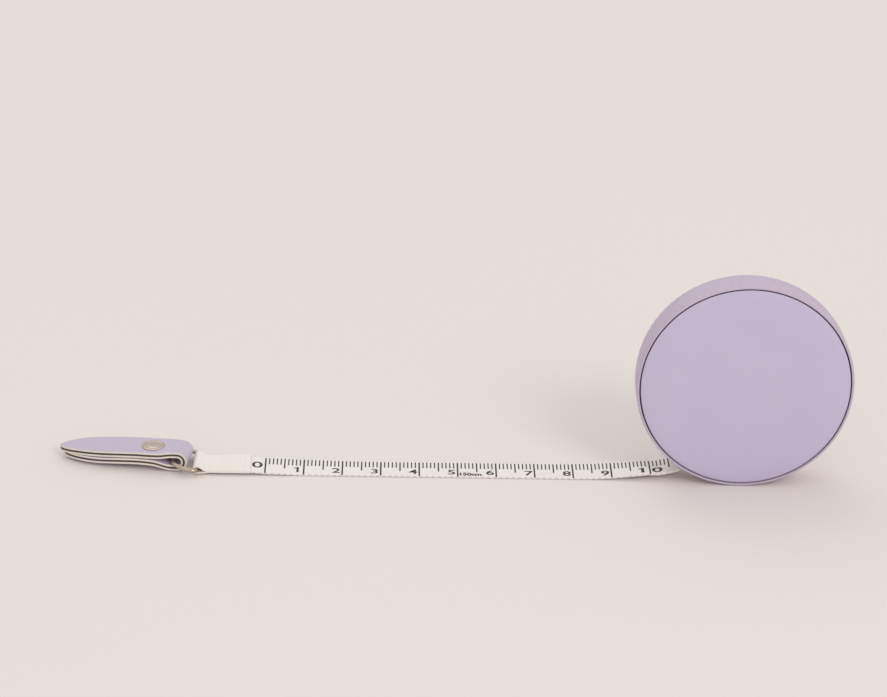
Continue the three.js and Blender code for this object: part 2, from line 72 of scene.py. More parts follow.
# Sizes and places read off the frame
BAND_LOW, BAND_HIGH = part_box("rim_band")
FACE_LOW, FACE_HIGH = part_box("face_leather")
REAR_LOW, REAR_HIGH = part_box("rear_leather")
TAPE_LOW, TAPE_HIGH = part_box("free_tape")
END_LOW, END_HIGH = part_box("tape_end")
RING_LOW, RING_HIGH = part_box("d_ring")
TAB_LOW, TAB_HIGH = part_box("tab_leather")
FLAP_LOW, FLAP_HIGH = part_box("flap_leather")
CAP_LOW, CAP_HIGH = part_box("snap_cap")
CASE_X = (BAND_LOW.x + BAND_HIGH.x) / 2
CASE_Z = (BAND_LOW.z + BAND_HIGH.z) / 2
CASE_RADIUS = (BAND_HIGH.z - BAND_LOW.z) / 2
JOINTS = {joint["name"]: joint for joint in frame["joints"]}
RING_BAR = Vector(JOINTS["ring_swing"]["pos_m"])
RING_HOLD = Vector(JOINTS["tab_tilt"]["pos_m"])
FLAP_HINGE = Vector(JOINTS["flap_open"]["pos_m"])
TAB_ACROSS = Vector(JOINTS["flap_open"]["axis"]).normalized()
TAB_ALONG = Vector((-TAB_ACROSS.y, TAB_ACROSS.x, 0))
TAPE_MIDDLE_Y = (TAPE_LOW.y + TAPE_HIGH.y) / 2
TAPE_HALF_WIDTH = (TAPE_HIGH.y - TAPE_LOW.y) / 2

# The leather band round the rim: its rolled lip in front, its curve behind, and its sewn seams
CASE_STEPS = 160
BAND_THICKNESS = 0.65 * MM
LIP_ROLL_IN = 0.36 * MM
LIP_ROLL_BACK = 0.8 * MM
LIP_INNER_SHARE = 1 / 8
STRAIGHT_RIM_END = -1.251 * MM
BACK_CURVE_DEPTH = 8.2 * MM
BACK_CURVE_INSET = 7 * MM
SEAM_DEPTH = 0.09 * MM
FRONT_SEAM_SETBACK = 1.25 * MM
REAR_SEAM_SHARE = 0.22
STITCHES_ROUND = 88
STITCH_LENGTH = 1.3 * MM
STITCH_THICKNESS = 0.34 * MM
GROOVE_HALF_WIDTH = STITCH_THICKNESS * 0.9
FRONT_STITCH_SINK = STITCH_THICKNESS * 0.22
REAR_STITCH_SINK = STITCH_THICKNESS * 0.3

# The slot that the tape comes out of
SLOT_ANGLE = math.radians(32.5)
SLOT_HEIGHT = 3.4 * MM
SLOT_SIDE_ROOM = 0.5 * MM
SLOT_CUT_LENGTH = 6 * MM
SLOT_EDGE_ROUND = 0.4 * MM
SLOT_STITCH_FREE = math.radians(8)

# The padded front face, which is the button that rewinds the tape, and the padded rear face
FACE_THICKNESS = 0.5 * MM
FACE_CROWN = 1.0 * MM
FACE_CROWN_POWER = 3.6
FACE_PROUD = 0.3 * MM
FACE_EDGE_FALL = 0.1 * MM
FACE_SIDE_SHARE = 0.9
FACE_BACK_SHARE = 0.98
FACE_STEPS = 26
GAP_REACH = 0.04 * MM
REAR_CROWN_POWER = 12
REAR_EDGE_FALL_SHARE = 0.7
REAR_STEPS = 20

# Tape
TAPE_THICKNESS = 0.35 * MM
TAPE_SLOPE = math.radians(18.29)
TAPE_FLAT_END = 32.499 * MM
TAPE_CURVE_REACH = 1.5
TAPE_TAIL = 4 * MM
TAPE_PIECES_ALONG = 240
TAPE_PIECES_ACROSS = 8
# How far the tape's near and far edges lie above its plain curve: [place along, lift] in millimetres
NEAR_LIFT = (
    (-66, 0), (-62, 0.4), (-53, 0.6), (-47, 0.25), (-38, 0),
    (46, 0), (50, -0.2), (54.5, -1.0), (58, -1.1), (60, -0.8),
)
FAR_LIFT = (
    (-66, 0), (-62, 0.4), (-53, 0.95), (-47, 0.72), (-39, 0.42), (-26, 0.1), (-18, 0),
    (24, 0), (40, 0.28), (48, -0.05), (54, -0.9), (58, -1.0), (60, -0.8),
)

# The tape's end, turned back round the ring's bar and sewn down
LOOP_RADIUS = 1.05 * MM
LOOP_TURN = math.radians(200)
LOOP_FALL = 2.3 * MM
LOOP_STEPS = 20
END_STEPS = 24
END_STITCH_SIZE = (0.22 * MM, 0.75 * MM, 0.2 * MM)
END_STITCH_SETBACKS = (1.6 * MM, 7.6 * MM)
END_STITCHES_ACROSS = 8

# Dashes woven along the tape's edges, counted from its middle and from the 0 mark
EDGE_START = 4.15 * MM
EDGE_PITCH = 1.6 * MM
DASHES_FROM = -3.4 * MM
DASH_STRENGTH = 0.35

# Marks on the tape: [every so many millimetres, share of the full length, share of the width]
TAPE_ZERO = -48.5007 * MM
MARK_HEIGHT = 0.012 * MM
MARK_WIDTH = 0.33 * MM
MARK_FAR_MARGIN = 0.85 * MM
MARK_NEAR_MARGIN = 0.1 * MM
LAST_MARK = 106
MARKS = ((10, 1.0, 1.25), (5, 0.65, 1.1), (1, 0.41, 1.0))

# Print on the tape: [text, place past the 0 mark, rise above the near edge, size, share of the width, boldness],
# all but the share in millimetres
FIGURE = (2.5, 3.7, 1.25, 0.06)
TEN_FIGURE = (2.5, 3.7, 1.55, 0.08)
PRINT = [
    ("0", -2.1, TAPE_HALF_WIDTH / MM - 0.4, 4.4, 1.36, 0.06),
    *((str(number), number * 10 - 1.6, *FIGURE) for number in range(1, 10)),
    ("1", 98.1, *TEN_FIGURE),
    ("0", 101.9, *TEN_FIGURE),
    ("150cm", 53.2, 1.5, 2.3, 0.97, 0.1),
]

# The slanted stroke at the head of both figures 1
FLAG_PLACES = (7.9 * MM, 97.5 * MM)
FLAG_RISE = 3.6 * MM
FLAG_HALF_LENGTH = 0.55 * MM
FLAG_WIDTH = 0.34 * MM
FLAG_SLANT = math.radians(-62)

# D ring
WIRE_RADIUS = 0.58 * MM
RING_HALF_WIDTH = 5.65 * MM
RING_CORNER = 1.7 * MM
RING_BAR_STEPS = 12
RING_CORNER_STEPS = 8
RING_ARC_STEPS = 48

# Leather tab, folded through the ring. The layers are [inset, thickness], from the outside in
FOLD_RADIUS = 2.55 * MM
FOLD_LIFT = 0.3 * MM
FOLD_TOP = FOLD_LIFT + FOLD_RADIUS * 2
TAB_LENGTH = 32 * MM
TAB_WIDTH = 9.3 * MM
TAB_SET_BACK = 0.25 * MM
TAB_SET_LEFT = 0.2 * MM
LOWER_TIP_SETBACK = 1.1 * MM
FOLD_WIDTH = 7.8 * MM
FOLD_STEPS = 18
SHOULDER_SHARE = 1 / 6
TAPER_SHARE = 0.5
TIP_POWER = 2.3
TIP_ROUNDNESS = 0.62
TIP_LEAST = 0.02 * MM
LEAF_STEPS = 64
LEAF_EVEN_SHARE = 0.35
LEAF_COLUMNS = 12
LEATHER_LAYER = 0.48 * MM
CORE_LAYER = 0.5 * MM
LAYER_GAP = 0.03 * MM
LAYERS = (
    (0, LEATHER_LAYER),
    (LEATHER_LAYER + LAYER_GAP, CORE_LAYER),
    (LEATHER_LAYER + CORE_LAYER + LAYER_GAP * 2, LEATHER_LAYER),
)
# How far the lower leaf rises and the upper one drops: [distance from the fold, height] in millimetres
LOWER_LEAF_RISE = (
    (0, 0), (2.2, 0.1), (5.4, 1.05), (8.2, 1.3), (11, 1.3), (16, 1.05), (21, 0.7), (26.5, 0.5), (34, 0.35),
)
UPPER_LEAF_DROP = (
    (0, 0), (2.0, 0), (5.0, 0.3), (8.2, 0.4), (11, 0.45), (16, 0.7), (21, 1.0), (26.5, 1.35), (34, 2.2),
)
LEAF_START = 0.2 * MM
FLAP_START = 0.08 * MM

# The press stud's cap. Its profile is [share of the radius, depth below the top in millimetres]
SNAP_DISTANCE = 7.1 * MM
SNAP_RADIUS = 2.95 * MM
CAP_RISE = 0.32 * MM
CAP_CLEARANCE = 0.04 * MM
CAP_SIDE_SHARE = 0.55
CAP_STEPS = 72
CAP_TOP = (
    (0.05, 0.02), (0.4, 0.04), (0.62, 0.08), (0.72, 0.16), (0.76, 0.14), (0.86, 0.06), (0.94, 0.12),
)

# Modelling
WELD_DISTANCE = 0.0005 * MM
FLAT_SIDE_ANGLE = 60
ROUND_PIECE_ANGLE = 180
ROLLED_EDGE_ANGLE = 50


def linear(red, green, blue):
    """A colour as it looks on screen, from 0 to 255, as the shader takes it."""
    def channel(value):
        share = value / 255
        if share <= 0.04045:
            return share / 12.92
        return ((share + 0.055) / 1.055) ** 2.4

    return (channel(red), channel(green), channel(blue), 1)


# Camera

def add_camera():
    forward = Vector((math.sin(CAMERA_YAW) * math.cos(CAMERA_PITCH),
                      math.cos(CAMERA_YAW) * math.cos(CAMERA_PITCH),
                      -math.sin(CAMERA_PITCH)))
    level = Vector((math.cos(CAMERA_YAW), -math.sin(CAMERA_YAW), 0))
    upright = level.cross(forward)
    right = level * math.cos(CAMERA_ROLL) + upright * math.sin(CAMERA_ROLL)
    up = upright * math.cos(CAMERA_ROLL) - level * math.sin(CAMERA_ROLL)
    data = bpy.data.cameras.new("camera")
    data.sensor_width = SENSOR_WIDTH
    data.lens = FOCAL_PIXELS * SENSOR_WIDTH / FRAME_WIDTH_PIXELS
    data.clip_start = 0.01
    camera = bpy.data.objects.new("camera", data)
    bpy.context.scene.collection.objects.link(camera)
    turn = Matrix((right, up, -forward)).transposed().to_4x4()
    camera.matrix_world = Matrix.Translation(CAMERA_PLACE) @ turn
    bpy.context.scene.camera = camera


add_camera()


# Shader node groups

FLOAT = "NodeSocketFloat"
VECTOR = "NodeSocketVector"


def new_group(name, inputs, outputs):
    group = bpy.data.node_groups.new(name, "ShaderNodeTree")
    for label, kind, value in inputs:
        socket = group.interface.new_socket(label, in_out="INPUT", socket_type=kind)
        if value is not None:
            socket.default_value = value
    for label, kind in outputs:
        group.interface.new_socket(label, in_out="OUTPUT", socket_type=kind)
    return group, group.nodes.new("NodeGroupInput"), group.nodes.new("NodeGroupOutput")


def math_node(tree, operation, first, second=None):
    node = tree.nodes.new("ShaderNodeMath")
    node.operation = operation
    for index, value in enumerate((first, second)):
        if value is None:
            continue
        if isinstance(value, (int, float)):
            node.inputs[index].default_value = value
        else:
            tree.links.new(value, node.inputs[index])
    return node.outputs[0]


def mix_colours(tree, mask, first, second):
    node = tree.nodes.new("ShaderNodeMix")
    node.data_type = "RGBA"
    tree.links.new(mask, node.inputs["Factor"])
    for socket, value in ((node.inputs[6], first), (node.inputs[7], second)):
        if isinstance(value, tuple):
            socket.default_value = value
        else:
            tree.links.new(value, socket)
    return node.outputs[2]


def noise(tree, vector, scale, detail=3.0):
    node = tree.nodes.new("ShaderNodeTexNoise")
    node.inputs["Detail"].default_value = detail
    if isinstance(scale, (int, float)):
        node.inputs["Scale"].default_value = scale
    else:
        tree.links.new(scale, node.inputs["Scale"])
    tree.links.new(vector, node.inputs["Vector"])
    return node.outputs["Fac"]


GRAIN_WANDER = 0.3 * MM


def grain_group():
    """Leather grain: small rounded cells over a slow unevenness."""
    inputs = (("Vector", VECTOR, None), ("Cell Scale", FLOAT, 1800.0), ("Patch Scale", FLOAT, 60.0))
    outputs = (("Height", FLOAT), ("Pores", FLOAT), ("Patches", FLOAT))
    group, given, result = new_group("leather_grain", inputs, outputs)
    cells = group.nodes.new("ShaderNodeTexVoronoi")
    cells.feature = "DISTANCE_TO_EDGE"
    half_scale = math_node(group, "MULTIPLY", given.outputs["Cell Scale"], 0.5)
    wander = noise(group, given.outputs["Vector"], half_scale)
    shift = group.nodes.new("ShaderNodeVectorMath")
    shift.operation = "ADD"
    push = group.nodes.new("ShaderNodeVectorMath")
    push.operation = "SCALE"
    group.links.new(wander, push.inputs[0])
    push.inputs["Scale"].default_value = GRAIN_WANDER
    group.links.new(given.outputs["Vector"], shift.inputs[0])
    group.links.new(push.outputs[0], shift.inputs[1])
    group.links.new(shift.outputs[0], cells.inputs["Vector"])
    group.links.new(given.outputs["Cell Scale"], cells.inputs["Scale"])
    pores = math_node(group, "SMOOTH_MIN", math_node(group, "MULTIPLY", cells.outputs["Distance"], 4.0), 1.0)
    patches = noise(group, given.outputs["Vector"], given.outputs["Patch Scale"], 4.0)
    height = math_node(group, "ADD", pores, math_node(group, "MULTIPLY", patches, 0.6))
    group.links.new(height, result.inputs["Height"])
    group.links.new(pores, result.inputs["Pores"])
    group.links.new(patches, result.inputs["Patches"])
    return group


def weave_group():
    """Plain weave from two crossed waves along a strip's own lengths."""
    inputs = (("Vector", VECTOR, None), ("Threads", FLOAT, 2600.0))
    outputs = (("Height", FLOAT), ("Gaps", FLOAT))
    group, given, result = new_group("cloth_weave", inputs, outputs)
    split = group.nodes.new("ShaderNodeSeparateXYZ")
    group.links.new(given.outputs["Vector"], split.inputs[0])
    waves = []
    for axis in ("X", "Y"):
        turns = math_node(group, "MULTIPLY", split.outputs[axis], given.outputs["Threads"])
        waves.append(math_node(group, "SINE", math_node(group, "MULTIPLY", turns, math.tau)))
    crossed = math_node(group, "MULTIPLY", waves[0], waves[1])
    height = math_node(group, "ADD", math_node(group, "MULTIPLY", crossed, 0.5), 0.5)
    group.links.new(height, result.inputs["Height"])
    group.links.new(math_node(group, "POWER", height, 3.0), result.inputs["Gaps"])
    return group


def wear_group():
    """Fine scratches and slow smudges for metal and moulded pieces."""
    inputs = (("Vector", VECTOR, None), ("Smudge Scale", FLOAT, 150.0), ("Scratch Scale", FLOAT, 2500.0))
    outputs = (("Smudge", FLOAT), ("Scratch", FLOAT))
    group, given, result = new_group("surface_wear", inputs, outputs)
    smudge = noise(group, given.outputs["Vector"], given.outputs["Smudge Scale"], 4.0)
    scratch = noise(group, given.outputs["Vector"], given.outputs["Scratch Scale"], 2.0)
    group.links.new(smudge, result.inputs["Smudge"])
    group.links.new(scratch, result.inputs["Scratch"])
    return group


GRAIN = grain_group()
WEAVE = weave_group()
WEAR = wear_group()


def new_material(name, roughness, metallic=0.0):
    material = bpy.data.materials.new(name)
    material.use_nodes = True
    shader = material.node_tree.nodes["Principled BSDF"]
    shader.inputs["Roughness"].default_value = roughness
    shader.inputs["Metallic"].default_value = metallic
    return material, material.node_tree, shader


def place_group(tree, group, vector, **values):
    node = tree.nodes.new("ShaderNodeGroup")
    node.node_tree = group
    tree.links.new(vector, node.inputs["Vector"])
    for label, value in values.items():
        node.inputs[label.replace("_", " ")].default_value = value
    return node


def object_vector(tree):
    return tree.nodes.new("ShaderNodeTexCoord").outputs["Object"]


def spread(tree, value, low, high):
    """Turns a share into a value between low and high."""
    node = tree.nodes.new("ShaderNodeMapRange")
    node.inputs["To Min"].default_value = low
    node.inputs["To Max"].default_value = high
    tree.links.new(value, node.inputs["Value"])
    return node.outputs["Result"]


def add_bump(tree, shader, height, distance, strength=1.0):
    bump = tree.nodes.new("ShaderNodeBump")
    bump.inputs["Distance"].default_value = distance
    bump.inputs["Strength"].default_value = strength
    tree.links.new(height, bump.inputs["Height"])
    tree.links.new(bump.outputs[0], shader.inputs["Normal"])


def leather(name, light, deep, cell_scale, bump_distance, roughness=(0.42, 0.55)):
    """Grained leather, duller and deeper in its pores than on top of the grain."""
    material, tree, shader = new_material(name, 0.5)
    grain = place_group(tree, GRAIN, object_vector(tree), Cell_Scale=cell_scale)
    patch = spread(tree, grain.outputs["Patches"], 0.0, 1.0)
    tone = mix_colours(tree, patch, deep, light)
    colour = mix_colours(tree, spread(tree, grain.outputs["Pores"], 0.75, 1.0), deep, tone)
    tree.links.new(colour, shader.inputs["Base Color"])
    rough = spread(tree, grain.outputs["Pores"], roughness[1], roughness[0])
    tree.links.new(rough, shader.inputs["Roughness"])
    shader.inputs["Specular IOR Level"].default_value = 0.35
    add_bump(tree, shader, grain.outputs["Height"], bump_distance)
    return material


def tape_cloth():
    """White coated cloth with faint dashes along both edges of its printed part."""
    material, tree, shader = new_material("tape_cloth", 0.72)
    coordinates = tree.nodes.new("ShaderNodeUVMap").outputs["UV"]
    weave = place_group(tree, WEAVE, coordinates)
    soil = noise(tree, coordinates, 90.0, 4.0)
    base = mix_colours(tree, soil, linear(236, 230, 222), linear(243, 238, 232))
    threads = mix_colours(tree, spread(tree, weave.outputs["Gaps"], 0.0, 0.25), base, linear(222, 214, 206))
    split = tree.nodes.new("ShaderNodeSeparateXYZ")
    tree.links.new(coordinates, split.inputs[0])
    rim = math_node(tree, "GREATER_THAN", math_node(tree, "ABSOLUTE", split.outputs["Y"]), EDGE_START)
    dash = math_node(tree, "SINE", math_node(tree, "MULTIPLY", split.outputs["X"], math.tau / EDGE_PITCH))
    past_end = math_node(tree, "GREATER_THAN", split.outputs["X"], DASHES_FROM)
    dashes = math_node(tree, "MULTIPLY", past_end, math_node(tree, "GREATER_THAN", dash, 0.1))
    edge = math_node(tree, "MULTIPLY", rim, dashes)
    faint = math_node(tree, "MULTIPLY", edge, DASH_STRENGTH)
    colour = mix_colours(tree, faint, threads, linear(168, 162, 160))
    tree.links.new(colour, shader.inputs["Base Color"])
    tree.links.new(spread(tree, weave.outputs["Height"], 0.8, 0.66), shader.inputs["Roughness"])
    add_bump(tree, shader, weave.outputs["Height"], 0.00004)
    return material


def print_ink():
    material, tree, shader = new_material("print_ink", 0.7)
    fade = noise(tree, object_vector(tree), 3000.0, 3.0)
    colour = mix_colours(tree, fade, linear(38, 35, 37), linear(66, 62, 64))
    tree.links.new(colour, shader.inputs["Base Color"])
    return material


def metal(name, light, deep, roughness, bump_distance=0.000004):
    material, tree, shader = new_material(name, roughness, 1.0)
    wear = place_group(tree, WEAR, object_vector(tree))
    tree.links.new(mix_colours(tree, wear.outputs["Smudge"], deep, light), shader.inputs["Base Color"])
    rough = spread(tree, wear.outputs["Smudge"], roughness * 0.7, roughness * 1.35)
    tree.links.new(rough, shader.inputs["Roughness"])
    add_bump(tree, shader, wear.outputs["Scratch"], bump_distance)
    return material


def moulded(name, light, deep, roughness, bump_distance=0.00001, smudge_scale=150.0):
    material, tree, shader = new_material(name, roughness)
    wear = place_group(tree, WEAR, object_vector(tree), Smudge_Scale=smudge_scale)
    tree.links.new(mix_colours(tree, wear.outputs["Smudge"], deep, light), shader.inputs["Base Color"])
    rough = spread(tree, wear.outputs["Scratch"], roughness * 0.85, roughness * 1.1)
    tree.links.new(rough, shader.inputs["Roughness"])
    add_bump(tree, shader, wear.outputs["Scratch"], bump_distance)
    return material


FACE_LEATHER = leather("face_leather", linear(202, 194, 220), linear(194, 184, 210), 2600.0, 0.000012)
# The tab is of the face's leather. This copy is painted warmer and less blue, a painted warm light from above on
# the tab
TAB_LEATHER_PAINTED_WARM_LIGHT = leather("tab_leather", linear(199, 189, 207), linear(190, 179, 198), 2600.0, 0.000012)
BAND_LEATHER = leather(
    "band_leather", linear(203, 190, 209), linear(189, 175, 194), 2200.0, 0.00003, (0.5, 0.62))
RAW_EDGE = moulded("raw_edge", linear(238, 231, 220), linear(218, 209, 197), 0.85, 0.00003, 900.0)
BOARD = moulded("tab_board", linear(88, 80, 78), linear(60, 54, 54), 0.9, 0.00004, 1200.0)
THREAD = moulded("band_thread", linear(230, 203, 208), linear(210, 179, 188), 0.75, 0.00002, 1500.0)
TAPE_CLOTH = tape_cloth()
PRINT_INK = print_ink()
END_THREAD = moulded("end_thread", linear(244, 240, 234), linear(226, 220, 212), 0.8, 0.00002, 1500.0)
# Nickel's own pale colour with a warm tint painted in: the tint is a painted reflection of the warm room
NICKEL_PAINTED_WARM_REFLECTION = metal("nickel_painted_warm_reflection", linear(204, 190, 175), linear(176, 160, 146), 0.24)
# Painted shade: a dark plum that stands in for the shade in the fine gap between the front face and the rim's
# lip
GAP_PAINTED_SHADE = moulded("gap_painted_shade", linear(80, 66, 82), linear(62, 50, 64), 0.9, 0.00001, 1500.0)
STEEL = metal("bright_steel", linear(190, 190, 194), linear(160, 160, 166), 0.3)
BRASS = metal("pressed_brass", linear(204, 172, 108), linear(176, 144, 84), 0.3)
SHELL = moulded("shell_plastic", linear(214, 206, 218), linear(200, 190, 206), 0.5)
GUIDE = moulded("guide_plastic", linear(120, 112, 126), linear(98, 92, 104), 0.45)
FOAM = moulded("foam", linear(232, 228, 220), linear(214, 208, 200), 0.95, 0.00006, 1800.0)
RUBBER = moulded("brake_rubber", linear(48, 47, 50), linear(34, 33, 36), 0.85, 0.00003, 900.0)
WOUND_CLOTH = moulded("wound_cloth", linear(240, 235, 228), linear(226, 219, 210), 0.8, 0.00003, 1500.0)


# Ways of modelling

def select_none():
    bpy.ops.object.select_all(action="DESELECT")


def apply_place():
    """Puts the selected piece's place, turn and size into its mesh."""
    bpy.ops.object.transform_apply(location=True, rotation=True, scale=True)


def only(piece):
    select_none()
    piece.select_set(True)
    bpy.context.view_layer.objects.active = piece


def edit(piece, action="SELECT"):
    only(piece)
    bpy.ops.object.mode_set(mode="EDIT")
    bpy.ops.mesh.select_all(action=action)


def leave_edit():
    bpy.ops.object.mode_set(mode="OBJECT")


def add_modifier(piece, kind, **settings):
    only(piece)
    modifier = piece.modifiers.new(kind.lower(), kind)
    for name, value in settings.items():
        setattr(modifier, name, value)
    bpy.ops.object.modifier_apply(modifier=modifier.name)


def settle(piece, angle=40):
    """Puts the piece's place into its mesh, closes its seams and turns its faces outwards."""
    only(piece)
    apply_place()
    edit(piece)
    bpy.ops.mesh.remove_doubles(threshold=WELD_DISTANCE)
    bpy.ops.mesh.normals_make_consistent(inside=False)
    leave_edit()
    bpy.ops.object.shade_smooth_by_angle(angle=math.radians(angle))


def paint(piece, *materials):
    piece.data.materials.clear()
    for material in materials:
        piece.data.materials.append(material)


def turned(name, profile, middle_x, middle_z, steps, material, angle=40):
    """A circle about an axis along Y, extruded and resized from one [radius, y] point to the next."""
    first_radius, first_y = profile[0]
    closed = profile[0] == profile[-1]
    select_none()
    bpy.ops.mesh.primitive_circle_add(
        vertices=steps, radius=first_radius, fill_type="NOTHING" if closed else "TRIFAN",
        location=(middle_x, first_y, middle_z), rotation=(math.pi / 2, 0, 0))
    piece = bpy.context.object
    piece.name = name
    only(piece)
    apply_place()
    bpy.ops.object.mode_set(mode="EDIT")
    bpy.ops.mesh.select_all(action="SELECT")
    if not closed:
        bpy.ops.mesh.select_non_manifold()
    for (radius, y), (next_radius, next_y) in zip(profile, profile[1:]):
        bpy.ops.mesh.extrude_region_move(TRANSFORM_OT_translate={"value": (0, next_y - y, 0)})
        size = next_radius / radius
        bpy.ops.transform.resize(value=(size, 1, size), center_override=(middle_x, next_y, middle_z))
    if not closed:
        bpy.ops.mesh.edge_face_add()
        bpy.ops.mesh.poke()
    leave_edit()
    paint(piece, material)
    settle(piece, angle)
    return piece


def cut_box(piece, size, place, slope):
    """Takes a slanted box with rounded edges out of a piece."""
    select_none()
    bpy.ops.mesh.primitive_cube_add(size=1, location=place, rotation=(0, -slope, 0), scale=size)
    cutter = bpy.context.object
    add_modifier(cutter, "BEVEL", width=SLOT_EDGE_ROUND, segments=3)
    add_modifier(piece, "BOOLEAN", object=cutter, operation="DIFFERENCE", solver="EXACT")
    bpy.data.objects.remove(cutter)


def joined(name, pieces):
    select_none()
    for piece in pieces:
        piece.select_set(True)
    bpy.context.view_layer.objects.active = pieces[0]
    if len(pieces) > 1:
        bpy.ops.object.join()
    pieces[0].name = name
    return pieces[0]


def as_mesh(name, data):
    """A curve or a text made a mesh."""
    piece = bpy.data.objects.new(name, data)
    bpy.context.scene.collection.objects.link(piece)
    only(piece)
    bpy.ops.object.convert(target="MESH")
    return bpy.context.object


def grid(name, rows, columns):
    """A flat grid of which the rows will be laid along a path."""
    select_none()
    bpy.ops.mesh.primitive_grid_add(x_subdivisions=rows, y_subdivisions=columns, size=2)
    piece = bpy.context.object
    piece.name = name
    return piece


def with_path(piece, path):
    """Each point of a grid with its row's place on the path."""
    rows = sorted({round(vertex.co.x, 6) for vertex in piece.data.vertices})
    index_of = {value: index for index, value in enumerate(rows)}
    return [(vertex, path[index_of[round(vertex.co.x, 6)]]) for vertex in piece.data.vertices]


def stitches(name, size, places, thread):
    """One small rounded stitch, copied to each place."""
    select_none()
    bpy.ops.mesh.primitive_uv_sphere_add(segments=8, ring_count=6, radius=0.5)
    model = bpy.context.object
    model.scale = size
    settle(model)
    copies = []
    for place in places:
        copy = bpy.data.objects.new(name, model.data.copy())
        bpy.context.scene.collection.objects.link(copy)
        copy.data.transform(place)
        copies.append(copy)
    bpy.data.objects.remove(model)
    row = joined(name, copies)
    paint(row, thread)
    settle(row, ROUND_PIECE_ANGLE)
    return row


def smooth_share(share):
    share = min(max(share, 0), 1)
    return share * share * (3 - 2 * share)


# Case

def back_curve(inset, steps=18):
    """[radius, y] points of the rim's rounded back, at an inset from its outside."""
    points = []
    for step in range(steps + 1):
        angle = math.pi / 2 * step / steps
        radius = CASE_RADIUS - BACK_CURVE_INSET + (BACK_CURVE_INSET - inset) * math.cos(angle)
        points.append((radius, STRAIGHT_RIM_END + (BACK_CURVE_DEPTH - inset) * math.sin(angle)))
    return points


def groove(radius, y):
    """Three points of a shallow sewn groove in the rim."""
    return [(radius, y - GROOVE_HALF_WIDTH), (radius - SEAM_DEPTH, y), (radius, y + GROOVE_HALF_WIDTH)]


def front_lip(steps=9):
    """[radius, y] points of the lip, from its inner edge over the rolled front to the outside."""
    front = BAND_LOW.y
    inner = CASE_RADIUS - BAND_THICKNESS
    points = [(inner, front + LIP_ROLL_BACK * LIP_INNER_SHARE),
              (inner + LIP_ROLL_IN * LIP_INNER_SHARE, front)]
    for step in range(steps + 1):
        angle = math.pi / 2 * step / steps
        radius = CASE_RADIUS - LIP_ROLL_IN * (1 - math.sin(angle))
        points.append((radius, front + LIP_ROLL_BACK * (1 - math.cos(angle))))
    return points


FRONT_SEAM_Y = BAND_LOW.y + FRONT_SEAM_SETBACK
REAR_SEAM_ANGLE = math.pi / 2 * REAR_SEAM_SHARE
REAR_SEAM_Y = STRAIGHT_RIM_END + BACK_CURVE_DEPTH * math.sin(REAR_SEAM_ANGLE)
REAR_SEAM_RADIUS = CASE_RADIUS - BACK_CURVE_INSET * (1 - math.cos(REAR_SEAM_ANGLE))
SLOT_PLACE = Vector((CASE_X - CASE_RADIUS * math.sin(SLOT_ANGLE), TAPE_MIDDLE_Y,
                     CASE_Z - CASE_RADIUS * math.cos(SLOT_ANGLE)))


def rim_cover():
    outside = groove(CASE_RADIUS, FRONT_SEAM_Y) + back_curve(0)
    inside = list(reversed(back_curve(BAND_THICKNESS)))
    lip = front_lip()
    profile = lip + outside + inside + [lip[0]]
    cover = turned("rim_cover", profile, CASE_X, CASE_Z, CASE_STEPS, BAND_LEATHER)
    size = (SLOT_CUT_LENGTH, (TAPE_HALF_WIDTH + SLOT_SIDE_ROOM) * 2, SLOT_HEIGHT)
    cut_box(cover, size, SLOT_PLACE, TAPE_SLOPE)
    settle(cover)
    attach(cover, "case")
    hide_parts("rim_band")


def in_slot(angle):
    """Whether a place round the rim, counted from the bottom towards the tape, is in the slot."""
    return abs(angle % math.tau - SLOT_ANGLE) < SLOT_STITCH_FREE


def stitch_row(name, radius, y):
    """A row of stitches round the rim that leaves the slot free."""
    places = []
    for index in range(STITCHES_ROUND):
        angle = math.tau * index / STITCHES_ROUND
        if in_slot(angle):
            continue
        place = Vector((CASE_X - radius * math.sin(angle), y, CASE_Z - radius * math.cos(angle)))
        places.append(Matrix.Translation(place) @ Matrix.Rotation(angle, 4, "Y"))
    row = stitches(name, (STITCH_LENGTH, STITCH_THICKNESS, STITCH_THICKNESS), places, THREAD)
    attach(row, "case")


def darken_edge(cover, radius):
    """Paints shade on the face's outer edge, in place of the shade that falls in the fine gap round it."""
    cover.data.materials.append(GAP_PAINTED_SHADE)
    for polygon in cover.data.polygons:
        if math.hypot(polygon.center.x - CASE_X, polygon.center.z - CASE_Z) > radius - GAP_REACH:
            polygon.material_index = 1


def crown_profile(radius, power, steps):
    """[radius, fall] points of a padded face, its fall a share that grows from the middle to the edge."""
    points = []
    for step in range(1, steps + 1):
        share = math.sin(math.pi / 2 * step / steps)
        points.append((radius * share, 1 - (1 - share ** power) ** 0.5))
    return points


def face_cover():
    """The padded front: nearly flat in the middle, rolled over at its edge."""
    radius = (FACE_HIGH.x - FACE_LOW.x) / 2
    front = FACE_LOW.y - FACE_PROUD
    profile = [(place, front + (FACE_CROWN + FACE_EDGE_FALL) * fall)
               for place, fall in crown_profile(radius, FACE_CROWN_POWER, FACE_STEPS)]
    profile.append((radius, front + FACE_CROWN + FACE_THICKNESS * FACE_SIDE_SHARE))
    profile.append((radius * FACE_BACK_SHARE, FACE_HIGH.y))
    cover = turned("front_face_cover", profile, CASE_X, CASE_Z, CASE_STEPS, FACE_LEATHER, FLAT_SIDE_ANGLE)
    # Painted shade on the face's outer edge, for the gap round it
    darken_edge(cover, radius)
    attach(cover, "face_button")
    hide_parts("face_leather")


